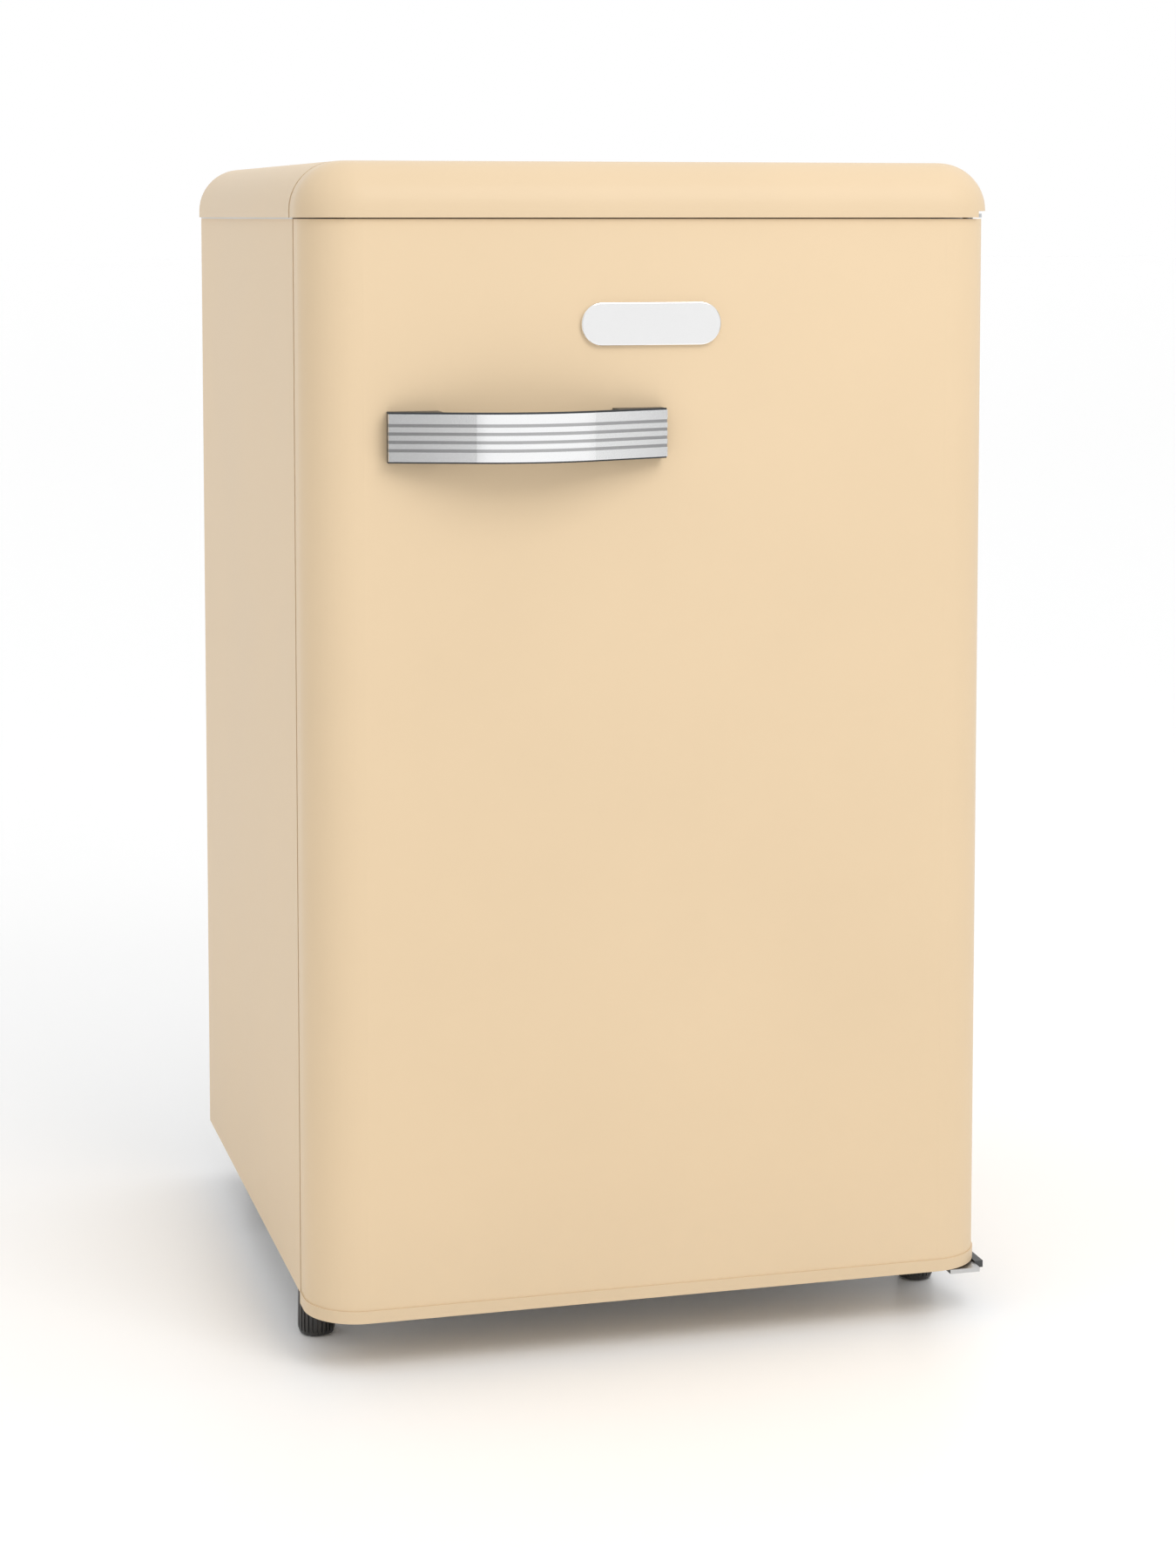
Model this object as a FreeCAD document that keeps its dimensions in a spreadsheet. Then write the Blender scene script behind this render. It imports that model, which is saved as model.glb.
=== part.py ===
"""A retro mini fridge: cream cabinet, rounded door hinged on the right, ribbed bow handle.

Millimetres. +Z is up, the front faces -Y and the origin is on the floor under the middle of
the object. Every size is a named cell of the sheet, and every object reads its cells.
"""
import FreeCAD, Part
import os
import re

import Sketcher

os.makedirs("parts", exist_ok=True)

SIZES = {
    # outer envelope
    "lid_half": 275, "body_half": 272, "lid_top": 920, "lid_base": 877.5, "body_base": 48,
    "cabinet_front": -203.5, "cabinet_back": 281.5, "rear_limit": 306.5,
    "lid_edge": 37, "lid_corner": 45, "overhang": 3, "cap_wall": 18, "cap_hollow_tall": 20,
    "cover_wall": 14, "cover_hollow_tall": 24,
    "sheet_steel": 1, "flange": 18,
    # cabinet interior
    "liner_wall": 2, "room_half": 233, "room_back": 230, "room_floor": 105, "room_top": 832,
    "hump_front": 95, "hump_top": 240, "bay_front": 125, "bay_top": 215,
    # door
    "door_face": -265.5, "door_back": -207.5, "cap_back": -208.5, "door_base": 51, "door_top": 876.5,
    "door_corner": 42, "trim_base": 41.5, "trim_proud": 1, "door_return": 12,
    "seal_outer": 258, "seal_width": 20, "seal_base": 53, "seal_top": 862, "seal_gap": 0.3,
    "dyke_outer": 222, "dyke_width": 16, "dyke_back": -165, "dyke_base": 118, "dyke_top": 812,
    # hinges
    "pin_across": 259, "pin_along": -235.5, "pin_radius": 4, "pin_fit": 0.06,
    "screw_radius": 4.2, "screw_tall": 2.2, "recess_deep": 1.2, "recess_reach": 2.4,
    "arm_thick": 3, "arm_half": 11, "plate_base": 36, "plate_thick": 3.5,
    # handle
    "handle_middle": -106.5, "handle_half": 107.5, "handle_base": 697.3, "handle_tall": 35.4,
    "handle_lift": 11.7, "handle_rise": 37.43, "handle_bend": 138.4, "strap_thick": 2.6,
    "rib_deep": 1.2, "band_tall": 7.2, "groove_tall": 2.4, "rib_tall": 3.8,
    "backing_thick": 1.4, "backing_over": 1.3, "handle_foot": 40,
    # badge
    "badge_middle": -9, "badge_half": 55, "badge_base": 781, "badge_tall": 33, "badge_thick": 3.5,
    # feet
    "foot_across": 251.7, "foot_along": -158.9, "foot_radius": 14.8, "foot_round": 5,
    "foot_top": 47.6, "stud_radius": 4, "rear_foot_across": 225, "rear_foot_along": 250,
    # inside fittings
    "shelf_half": 229, "shelf_front": -112, "shelf_back": 226, "glass_thick": 4,
    "crisper_cover": 243, "shelf_low": 385, "shelf_high": 530,
    "crisper_half": 205, "crisper_base": 108, "crisper_tall": 128, "crisper_back": 88,
    "ice_half": 226, "ice_front": -106, "ice_back": 224, "ice_base": 694, "ice_top": 832,
    "ice_wall": 3, "flap_thick": 8, "flap_gap": 1.5, "flap_tall": 120,
    "thermo_left": 197, "thermo_front": -92, "thermo_back": 62, "thermo_base": 605,
    "thermo_tall": 62, "knob_along": -58, "knob_radius": 20, "knob_thick": 13,
    "switch_left": 150, "switch_right": 178, "switch_base": 818, "switch_back": -150,
    "plunger_radius": 3,
    "rack_half": 205, "rack_wall": 2.5, "rack_front": -118, "rack_top_front": -150,
    "rack_low_base": 140, "rack_low_tall": 105, "rack_mid_base": 410, "rack_mid_tall": 80,
    "rack_top_base": 640, "rack_top_tall": 60,
    "drain_across": 0, "drain_along": 180, "drain_radius": 6, "drain_hole": 6.3, "drain_bore": 5,
    # cooling system
    "motor_across": -70, "motor_along": 203, "motor_radius": 60, "motor_base": 66,
    "motor_tall": 122, "coil_half": 215, "coil_base": 250, "coil_step": 46, "coil_along": 293,
    "tube_radius": 2.6, "wire_radius": 0.8, "wire_step": 18,
}

doc = FreeCAD.newDocument("mini_fridge")
sheet = doc.addObject("Spreadsheet::Sheet", "sizes")
for line, (word, number) in enumerate(SIZES.items(), start=1):
    sheet.set(f"A{line}", word)
    sheet.set(f"B{line}", str(number))
    sheet.setAlias(f"B{line}", word)
doc.recompute()

SUBPARTS = []
LEFT, RIGHT = -1, 1


def size(word):
    """The sheet's value for a name, for the few shapes that are set in code."""
    return float(sheet.get(word))


def bind(thing, prop, text):
    """Drive a property by an expression of the sheet's names."""
    def cell(match):
        word = match.group()
        return "sizes." + word if word in SIZES else word
    thing.setExpression(prop, re.sub(r"[a-z_]+", cell, text))


def subpart(thing, label):
    """Mark a finished solid, or group of solids, as one named sub-part."""
    thing.Label = label
    SUBPARTS.append(thing)
    return thing


def fresh(kind, name):
    return doc.addObject(kind, name)


def block(name, across, along, up):
    """A box between pairs of faces, each face an expression."""
    box = fresh("Part::Box", name)
    for prop, axis, (start, end) in zip(("Length", "Width", "Height"), "xyz", (across, along, up)):
        bind(box, prop, f"({end}) - ({start})")
        bind(box, f"Placement.Base.{axis}", start)
    return box


AIM = {
    "z": FreeCAD.Rotation(),
    "x": FreeCAD.Rotation(FreeCAD.Vector(0, 1, 0), 90),
    "y": FreeCAD.Rotation(FreeCAD.Vector(1, 0, 0), -90),
}


def place(thing, base, aim="z"):
    thing.Placement = FreeCAD.Placement(FreeCAD.Vector(), AIM[aim])
    for axis, text in zip("xyz", base):
        bind(thing, f"Placement.Base.{axis}", text)
    return thing


def rod(name, base, radius, length, aim="z"):
    """A cylinder that starts at base and points along +x, +y or +z."""
    cylinder = fresh("Part::Cylinder", name)
    bind(cylinder, "Radius", radius)
    bind(cylinder, "Height", length)
    return place(cylinder, base, aim)


def tip(name, base, near, far, length, aim="z"):
    """A cone frustum, placed as a rod is."""
    cone = fresh("Part::Cone", name)
    bind(cone, "Radius1", near)
    bind(cone, "Radius2", far)
    bind(cone, "Height", length)
    return place(cone, base, aim)


def fuse(name, shapes):
    joined = fresh("Part::MultiFuse", name)
    joined.Shapes = shapes
    return joined


def cut(name, base, tools):
    result = fresh("Part::Cut", name)
    result.Base = base
    result.Tool = tools[0] if len(tools) == 1 else fuse(name + "_tools", tools)
    return result


def group(name, shapes):
    """Separate solids that share one sub-part."""
    bundle = fresh("Part::Compound", name)
    bundle.Links = shapes
    return bundle


def both(make):
    """The same thing on the left and on the right."""
    return [make(side) for side in (LEFT, RIGHT)]


def edge_numbers(shape, test):
    return [number for number, edge in enumerate(shape.Edges, start=1) if test(edge)]


def upright(edge):
    box = edge.BoundBox
    return box.ZLength > 1 and box.XLength < 1e-4 and box.YLength < 1e-4


def at_height(edge, height):
    box = edge.BoundBox
    return abs(box.ZMin - height) < 1e-3 and abs(box.ZMax - height) < 1e-3


def eased(name, base, radius, test):
    """Round the edges of a Part object that pass a test."""
    doc.recompute()
    result = fresh("Part::Fillet", name)
    result.Base = base
    result.Edges = [(number, radius, radius) for number in edge_numbers(base.Shape, test)]
    return result


def origin_plane(body, role):
    return next(item for item in body.Origin.OriginFeatures if item.Role == role)


def drawn(body, name, role, points, lift="0"):
    """A closed straight-sided sketch whose corners are expressions, on an origin plane."""
    sketch = body.newObject("Sketcher::SketchObject", name)
    sketch.AttachmentSupport = [(origin_plane(body, role), "")]
    sketch.MapMode = "FlatFace"
    bind(sketch, "AttachmentOffset.Base.z", lift)
    count = len(points)
    turn = [FreeCAD.Rotation(FreeCAD.Vector(0, 0, 1), 360.0 * i / count) for i in range(count)]
    start = [rotation.multVec(FreeCAD.Vector(100, 0, 0)) for rotation in turn]
    for i in range(count):
        sketch.addGeometry(Part.LineSegment(start[i], start[(i + 1) % count]), False)
    for i in range(count):
        sketch.addConstraint(Sketcher.Constraint("Coincident", i, 2, (i + 1) % count, 1))
    for i, corner in enumerate(points):
        for kind, text, now in zip(("DistanceX", "DistanceY"), corner, start[i]):
            number = sketch.addConstraint(Sketcher.Constraint(kind, -1, 1, i, 1, now))
            bind(sketch, f"Constraints[{number}]", text)
    return sketch


def rectangle(left, right, low, high):
    return [(left, low), (right, low), (right, high), (left, high)]


def pad(body, name, sketch, length):
    feature = body.newObject("PartDesign::Pad", name)
    feature.Profile = sketch
    bind(feature, "Length", length)
    doc.recompute()
    return feature


def pocket(body, name, sketch, length, reverse=False):
    """Cut a sketch into the body and make sure that it did."""
    before = body.Shape.Volume
    feature = body.newObject("PartDesign::Pocket", name)
    feature.Profile = sketch
    feature.Reversed = reverse
    bind(feature, "Length", length)
    doc.recompute()
    if body.Shape.Volume > before - 1:
        raise RuntimeError(f"{name} cuts nothing")
    return feature


def fillet(body, name, radius, test):
    base = body.Tip
    feature = body.newObject("PartDesign::Fillet", name)
    feature.Base = (base, [f"Edge{number}" for number in edge_numbers(base.Shape, test)])
    bind(feature, "Radius", radius)
    doc.recompute()
    if not feature.isValid():
        raise RuntimeError(f"{name} can't be rounded")
    return feature


def revolved(body, name, points, across, along):
    """A turned solid: the sketch is radius against height, spun about its own vertical axis."""
    sketch = drawn(body, name + "_profile", "XZ_Plane", points)
    feature = body.newObject("PartDesign::Revolution", name)
    feature.Profile = sketch
    feature.ReferenceAxis = (sketch, ["V_Axis"])
    feature.Angle = 360
    doc.recompute()
    return place(body, (across, along, "0"))


# ---------------------------------------------------------------- cabinet


def side_panel(side, label):
    """A painted steel side, folded in along the front, top and back."""
    edge = f"{side} * body_half"
    inner = f"{side} * (body_half - sheet_steel)"
    lip = f"{side} * (body_half - flange)"
    skin = (edge, inner) if side == LEFT else (inner, edge)
    fold = (edge, lip) if side == LEFT else (lip, edge)
    tall = ("body_base", "lid_base - sheet_steel")
    plate = block(label + "_skin", skin, ("cabinet_front", "cabinet_back"), tall)
    front = block(label + "_front", fold, ("cabinet_front", "cabinet_front + sheet_steel"), tall)
    rear = block(label + "_rear", fold, ("cabinet_back - sheet_steel", "cabinet_back"),
                 ("bay_top", "lid_base - sheet_steel"))
    return subpart(fuse(label + "_joined", [plate, front, rear]), label)


def top_panel():
    """The steel top under the moulded cover, with its front fold between the side folds."""
    plate = block("top_plate", ("-body_half", "body_half"), ("cabinet_front", "cabinet_back"),
                  ("lid_base - sheet_steel", "lid_base"))
    fold = block("top_fold", ("flange - body_half", "body_half - flange"),
                 ("cabinet_front", "cabinet_front + sheet_steel"),
                 ("lid_base - flange", "lid_base"))
    return subpart(fuse("top_joined", [plate, fold]), "top_panel")


def back_panel():
    inner = "body_half - flange"
    return subpart(block("back_sheet", (f"-({inner})", inner),
                         ("cabinet_back - sheet_steel", "cabinet_back"),
                         ("bay_top", "lid_base - sheet_steel")), "back_panel")


def base_pan():
    """The steel floor pan, with holes that the front foot studs pass."""
    half = "body_half - sheet_steel"
    plate = block("pan_plate", (f"-({half})", half), ("cabinet_front + sheet_steel", "bay_front"),
                  ("body_base", "body_base + 2"))
    holes = both(lambda side: rod(f"pan_hole_{side + 1}",
                                  (f"{side} * foot_across", "foot_along", "body_base - 1"),
                                  "stud_radius + 0.6", "4"))
    return subpart(cut("pan_drilled", plate, holes), "base_pan")


def bay_panel():
    """The folded sheet that walls the compressor bay off from the foam."""
    half = "body_half - sheet_steel"
    wall = block("bay_wall", (f"-({half})", half), ("bay_front", "bay_front + sheet_steel"),
                 ("body_base", "bay_top"))
    roof = block("bay_roof", (f"-({half})", half), ("bay_front", "cabinet_back"),
                 ("bay_top - sheet_steel", "bay_top"))
    drain = rod("bay_drain_hole", ("drain_across", "drain_along", "bay_top - 5"), "drain_hole", "10")
    return subpart(cut("bay_cut", fuse("bay_joined", [wall, roof]), [drain]), "bay_panel")


def cabinet_foam():
    """The foam that fills every space between the steel and the liner."""
    half = "body_half - sheet_steel"
    full = block("foam_full", (f"-({half})", half),
                 ("cabinet_front + sheet_steel", "cabinet_back - sheet_steel"),
                 ("body_base + 2", "lid_base - sheet_steel"))
    room = block("foam_room", ("-room_half - liner_wall", "room_half + liner_wall"),
                 ("cabinet_front", "room_back + liner_wall"),
                 ("room_floor - liner_wall", "room_top + liner_wall"))
    hump = block("foam_hump", ("-room_half - liner_wall - 1", "room_half + liner_wall + 1"),
                 ("hump_front + liner_wall", "room_back + liner_wall + 1"),
                 ("room_floor - liner_wall - 1", "hump_top - liner_wall"))
    bay = block("foam_bay", ("-body_half", "body_half"), ("bay_front", "cabinet_back"),
                ("0", "bay_top"))
    rim = block("foam_rim", ("flange - body_half", "body_half - flange"),
                ("cabinet_front", "cabinet_front + liner_wall"),
                ("body_base + flange", "lid_base - flange"))
    studs = both(lambda side: rod(f"foam_stud_{side + 1}",
                                  (f"{side} * foot_across", "foot_along", "body_base"), "9", "30"))
    drain = rod("foam_drain", ("drain_across", "drain_along", "bay_top - 5"), "drain_hole", "60")
    space = cut("foam_space", room, [hump])
    return subpart(cut("foam_cut", full, [space, bay, rim, drain] + studs), "cabinet_foam")


def cabinet_liner():
    """The white formed liner: five walls, the step over the bay, a rim and shelf ledges."""
    shell = block("liner_shell", ("-room_half - liner_wall", "room_half + liner_wall"),
                  ("cabinet_front", "room_back + liner_wall"),
                  ("room_floor - liner_wall", "room_top + liner_wall"))
    room = block("liner_room", ("-room_half", "room_half"),
                 ("cabinet_front - 1", "room_back"), ("room_floor", "room_top"))
    step_out = block("liner_step_out", ("-room_half - 5", "room_half + 5"),
                     ("hump_front + liner_wall", "room_back + liner_wall + 5"),
                     ("room_floor - liner_wall - 5", "hump_top - liner_wall"))
    step = block("liner_step", ("-room_half - 5", "room_half + 5"),
                 ("hump_front", "room_back + 5"), ("room_floor - 5", "hump_top"))
    rim = block("liner_rim", ("flange - body_half", "body_half - flange"),
                ("cabinet_front", "cabinet_front + liner_wall"),
                ("body_base + flange", "lid_base - flange"))
    hollow = cut("liner_hollow", room, [step])
    ledges = []
    for level, height in enumerate(("crisper_cover", "shelf_low", "shelf_high")):
        for side in (LEFT, RIGHT):
            inner, outer = f"{side} * (room_half - 14)", f"{side} * (room_half + 1)"
            across = (outer, inner) if side == LEFT else (inner, outer)
            ledges.append(block(f"ledge_{level}_{side + 1}", across,
                                ("shelf_front + 4", "room_back + 1"),
                                (f"{height} - 5", height)))
    sleeve = rod("liner_drain", ("drain_across", "drain_along", "hump_top - 5"), "drain_bore", "10")
    walls = cut("liner_walls", fuse("liner_blank", [shell, rim]), [hollow, step_out])
    return subpart(cut("liner_drained", fuse("liner_joined", [walls] + ledges), [sleeve]),
                   "cabinet_liner")


def lid_half_body(label, front, back, corner_at_front):
    """One of the two moulded lids: a domed block with rounded plan corners, hollow below."""
    body = fresh("PartDesign::Body", label + "_body")
    outline = drawn(body, label + "_outline", "XY_Plane",
                    rectangle("-lid_half", "lid_half", front, back), "lid_base")
    pad(body, label + "_block", outline, "lid_top - lid_base")
    box = body.Shape.BoundBox
    middle = (box.YMin + box.YMax) / 2
    if corner_at_front:
        fillet(body, label + "_corners", "lid_corner",
               lambda edge: upright(edge) and edge.BoundBox.YMin < middle)
    return body


def door_cap():
    """The domed cap that tops the door, hollow, with a low slot that clears the hinge arm."""
    body = lid_half_body("door_cap", "door_face - overhang", "cap_back", True)
    rear = size("cap_back")
    top = size("lid_top")
    fillet(body, "cap_dome", "lid_edge",
           lambda edge: at_height(edge, top) and edge.BoundBox.YMin < rear - 1)
    hollow = drawn(body, "cap_hollow_outline", "XY_Plane",
                   rectangle("-lid_half + cap_wall", "lid_half - cap_wall",
                             "door_face + cap_wall", "cap_back - 3"), "lid_base")
    pocket(body, "cap_hollow", hollow, "cap_hollow_tall", reverse=True)
    slot = drawn(body, "cap_slot_outline", "XY_Plane",
                 rectangle("pin_across - 26", "lid_half + 5", "pin_along - 22",
                           "door_back + 5"), "lid_base")
    pocket(body, "cap_slot", slot, "arm_thick + 2", reverse=True)
    seat = drawn(body, "cap_seat_outline", "XY_Plane",
                 rectangle("-body_half + 30", "pin_across - 40", "door_face + 8",
                           "door_back - 0.5"), "door_top")
    pad(body, "cap_seat", seat, "lid_base - door_top")
    return subpart(body, "door_cap")


def rear_cover():
    """The cabinet's own lid, the same section as the door's cap, carried on to the back."""
    body = lid_half_body("rear_cover", "cabinet_front", "cabinet_back", False)
    top = size("lid_top")
    sides = size("lid_half")
    fillet(body, "cover_dome", "lid_edge",
           lambda edge: at_height(edge, top) and abs(abs(edge.BoundBox.Center.x) - sides) < 1)
    back = size("cabinet_back")
    fillet(body, "cover_back_ease", "10",
           lambda edge: edge.BoundBox.YMin > back - 0.1 and edge.BoundBox.ZMin > size("lid_base") + 5)
    hollow = drawn(body, "cover_hollow_outline", "XY_Plane",
                   rectangle("-lid_half + cover_wall", "lid_half - cover_wall",
                             "cabinet_front + 3", "cabinet_back - 4"), "lid_base")
    pocket(body, "cover_hollow", hollow, "cover_hollow_tall", reverse=True)
    slot = drawn(body, "cover_slot_outline", "XY_Plane",
                 rectangle("pin_across - arm_half - 1", "pin_across + arm_half + 1",
                           "cabinet_front - 5", "cabinet_front + 8"), "lid_base")
    pocket(body, "cover_slot", slot, "arm_thick + 2", reverse=True)
    return subpart(body, "rear_cover")


# ---------------------------------------------------------------- door


def rounded_outline(body, name, grow, back, base, tall):
    """A door-shaped block: straight back, front corners on the door's radius."""
    sketch = drawn(body, name + "_outline", "XY_Plane",
                   rectangle(f"-body_half - ({grow})", f"body_half + ({grow})",
                             f"door_face - ({grow})", back), base)
    pad(body, name, sketch, tall)
    fillet(body, name + "_corners", f"door_corner + ({grow})",
           lambda edge: upright(edge) and edge.BoundBox.YMin < -240)
    return body


def door_block(name, grow, back, base, tall):
    return rounded_outline(fresh("PartDesign::Body", name + "_body"), name, grow, back, base, tall)


def door_panel():
    """The painted steel skin: front, sides, top and the return flanges round the back."""
    outer = door_block("skin_outer", "0", "door_back", "door_base", "door_top - door_base")
    inner = door_block("skin_inner", "-sheet_steel", "door_back - sheet_steel", "door_base - 5",
                       "door_top - sheet_steel - door_base + 5")
    window = block("skin_window", ("door_return - body_half", "body_half - door_return"),
                   ("door_back - 5", "door_back + 5"),
                   ("door_base - 5", "door_top - door_return"))
    bore = rod("skin_pin_hole", ("pin_across", "pin_along", "door_top - 5"), "pin_radius + 4", "10")
    return subpart(cut("skin_cut", outer, [inner, window, bore]), "door_panel")


def handle_fixings(stage, radius, length):
    """Rods just behind the door's skin where the handle's four screws sit."""
    spots = [(side, row) for side in (LEFT, RIGHT) for row in (1, 3)]
    return [rod(f"{stage}_{side + 1}_{row}",
                (f"handle_middle + {side} * (handle_half - 18)", "door_face + sheet_steel",
                 f"handle_base + handle_tall * {row} / 4"), radius, length, "y")
            for side, row in spots]


def door_foam():
    full = door_block("door_foam_block", "-sheet_steel", "door_back - liner_wall",
                      "door_base", "door_top - sheet_steel - door_base")
    sockets = [rod("foam_low_bush", ("pin_across", "pin_along", "door_base - 5"), "8.2", "30"),
               rod("foam_high_bush", ("pin_across", "pin_along", "door_top - 26"), "8.2", "30")]
    sockets += handle_fixings("foam_screw", "4", "2.5")
    return subpart(cut("door_foam_cut", full, sockets), "door_foam")


def door_trim():
    """The moulded end piece along the door's foot, a little proud of the steel."""
    body = door_block("trim_block", "trim_proud", "door_back", "trim_base",
                      "door_base - trim_base")
    bore = rod("trim_pin_hole", ("pin_across", "pin_along", "trim_base - 5"), "6.3", "30")
    return subpart(cut("trim_cut", body, [bore]), "door_trim")


def door_liner():
    """The white inner door with its two upright ribs, which carry the racks."""
    plate = block("door_liner_plate", ("door_return - body_half", "body_half - door_return"),
                  ("door_back - liner_wall", "door_back"), ("door_base + 2", "door_top - door_return"))

    def rib(side):
        outer, inner = f"{side} * dyke_outer", f"{side} * (dyke_outer - dyke_width)"
        across = (outer, inner) if side == LEFT else (inner, outer)
        return block(f"dyke_{side + 1}", across, ("door_back - 1", "dyke_back"),
                     ("dyke_base", "dyke_top"))
    joined = fuse("door_liner_joined", [plate] + both(rib))

    def rib_edge(edge):
        box = edge.BoundBox
        return upright(edge) and abs(box.YMin - size("dyke_back")) < 0.1
    return subpart(eased("door_liner_eased", joined, 5, rib_edge), "door_liner")


def door_gasket():
    """The magnetic seal, a soft frame that closes on the cabinet's rim."""
    along = ("door_back", "cabinet_front - seal_gap")
    outer = block("seal_outer_block", ("-seal_outer", "seal_outer"), along,
                  ("seal_base", "seal_top"))
    hole = block("seal_hole", ("seal_width - seal_outer", "seal_outer - seal_width"),
                 ("door_back - 5", "cabinet_front + 5"),
                 ("seal_base + seal_width", "seal_top - seal_width"))
    return subpart(cut("seal_cut", outer, [hole]), "door_gasket")


def hinge_bushes():
    """Two plastic sleeves in the door that turn on the hinge pins."""
    sleeves = []
    for name, base in (("low", "trim_base + 1"), ("high", "door_top - 21")):
        sleeve = rod(f"bush_{name}_sleeve", ("pin_across", "pin_along", base), "6.2", "20")
        bore = rod(f"bush_{name}_bore", ("pin_across", "pin_along", f"({base}) - 5"),
                   "pin_radius + pin_fit", "40")
        sleeves.append(cut(f"bush_{name}", sleeve, [bore]))
    return subpart(group("bush_set", sleeves), "hinge_bushes")


# ---------------------------------------------------------------- hinges


def hinge_upper():
    """A flat arm from the cabinet's top to over the door, with its pin pointing down."""
    arm = block("arm_bar", ("pin_across - arm_half", "pin_across + arm_half"),
                ("pin_along", "cabinet_front + 60"), ("lid_base", "lid_base + arm_thick"))
    nose = rod("arm_nose", ("pin_across", "pin_along", "lid_base"), "arm_half", "arm_thick")
    foot = block("arm_foot", ("pin_across - 56", "pin_across + arm_half - 2"),
                 ("cabinet_front + 12", "cabinet_front + 60"),
                 ("lid_base", "lid_base + arm_thick"))
    trim = block("arm_trim", ("lid_half - 14", "lid_half"), ("cabinet_front + 6", "cabinet_front + 70"),
                 ("lid_base - 1", "lid_base + 10"))
    pin = rod("arm_pin", ("pin_across", "pin_along", "door_top - 16"), "pin_radius",
              "lid_base + 2 - door_top + 16")
    plate = cut("arm_plate", fuse("arm_flat", [arm, foot]), [trim])
    return subpart(fuse("arm_joined", [plate, nose, pin]), "hinge_upper")


def hinge_lower():
    """A cranked plate under the door with the pin that carries it."""
    top = "plate_base + plate_thick"
    plate = block("plate_bar", ("pin_across - 16", "pin_across + 9"),
                  ("pin_along - 25", "cabinet_front + 25"), ("plate_base", top))
    riser = block("plate_riser", ("pin_across - 16", "pin_across + 9"),
                  ("cabinet_front + 21.5", "cabinet_front + 25"), ("plate_base", "body_base"))
    flange = block("plate_flange", ("pin_across - 72", "pin_across + 9"),
                   ("cabinet_front + 3", "cabinet_front + 25"),
                   ("body_base - plate_thick", "body_base"))
    pin = rod("plate_pin", ("pin_across", "pin_along", "plate_base"), "pin_radius", "28")
    return subpart(fuse("plate_joined", [plate, riser, flange, pin]), "hinge_lower")


def hinge_stop():
    """A dark moulded end on the lower plate, and the washer that the door rides on."""
    end = block("stop_block", ("pin_across + 9", "lid_half"), ("pin_along - 14", "pin_along + 14"),
                ("plate_base - 0.5", "trim_base - 0.5"))
    return subpart(end, "hinge_stop")


def hinge_washer():
    ring = rod("washer_disc", ("pin_across", "pin_along", "plate_base + plate_thick"), "8.5", "1.6")
    bore = rod("washer_bore", ("pin_across", "pin_along", "plate_base"),
               "pin_radius + pin_fit", "10")
    return subpart(cut("washer_cut", ring, [bore]), "hinge_washer")


def screw(name, across, along, up, head_down=False):
    """A pan head with a cross recess; the thread is out of sight and left off."""
    disc = rod(name + "_head", (across, along, up), "screw_radius", "screw_tall")
    recess = (f"{up} + screw_tall - recess_deep", f"{up} + screw_tall + 1")
    if head_down:
        recess = (f"{up} - 1", f"{up} + recess_deep")

    def narrow(middle):
        return f"{middle} - 0.5", f"{middle} + 0.5"

    def wide(middle):
        return f"{middle} - recess_reach", f"{middle} + recess_reach"
    slots = [block(name + "_slot_a", wide(across), narrow(along), recess),
             block(name + "_slot_b", narrow(across), wide(along), recess)]
    return cut(name, disc, slots)


def hinge_screws():
    heads = []
    for row, along in enumerate(("cabinet_front + 24", "cabinet_front + 48")):
        for column, across in enumerate(("pin_across - 46", "pin_across - 22")):
            heads.append(screw(f"arm_screw_{row}_{column}", across, along, "lid_base + arm_thick"))
    for column, across in enumerate(("pin_across - 64", "pin_across - 44", "pin_across - 24")):
        heads.append(screw(f"plate_screw_{column}", across, "cabinet_front + 13",
                           "body_base - plate_thick - screw_tall", head_down=True))
    return subpart(group("hinge_screw_set", heads), "hinge_screws")


# ---------------------------------------------------------------- handle and badge


def bow(name, near, far, base, tall):
    """A bent strap in plan, two ramps and the arc between them, from near to far off its face."""
    body = fresh("PartDesign::Body", name + "_body")
    ends = ("handle_middle - handle_half", "handle_middle + handle_half")

    def corner(across, lift, layer):
        return across, f"door_face - handle_lift - ({lift}) + ({layer})"
    points = [corner(ends[0], "0", far), corner("handle_middle", "handle_rise", far),
              corner(ends[1], "0", far), corner(ends[1], "0", near),
              corner("handle_middle", "handle_rise", near), corner(ends[0], "0", near)]
    sketch = drawn(body, name + "_plan", "XY_Plane", points, base)
    pad(body, name + "_strip", sketch, tall)
    middle = size("handle_middle")
    fillet(body, name + "_bend", "handle_bend",
           lambda edge: upright(edge) and abs(edge.BoundBox.XMin - middle) < 0.5)
    return body


def handle_strap():
    """The bright strap: one thin bow with five raised bands along it."""
    layers = [bow("strap_base", "strap_thick", "rib_deep", "handle_base", "handle_tall")]
    start = "handle_base"
    bands = ["band_tall", "rib_tall", "rib_tall", "rib_tall", "band_tall"]
    for count, tall in enumerate(bands):
        layers.append(bow(f"strap_band_{count}", "rib_deep + 0.4", "0", start, tall))
        start = f"{start} + {tall} + groove_tall"
    return subpart(fuse("strap_joined", layers), "handle_strap")


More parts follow.
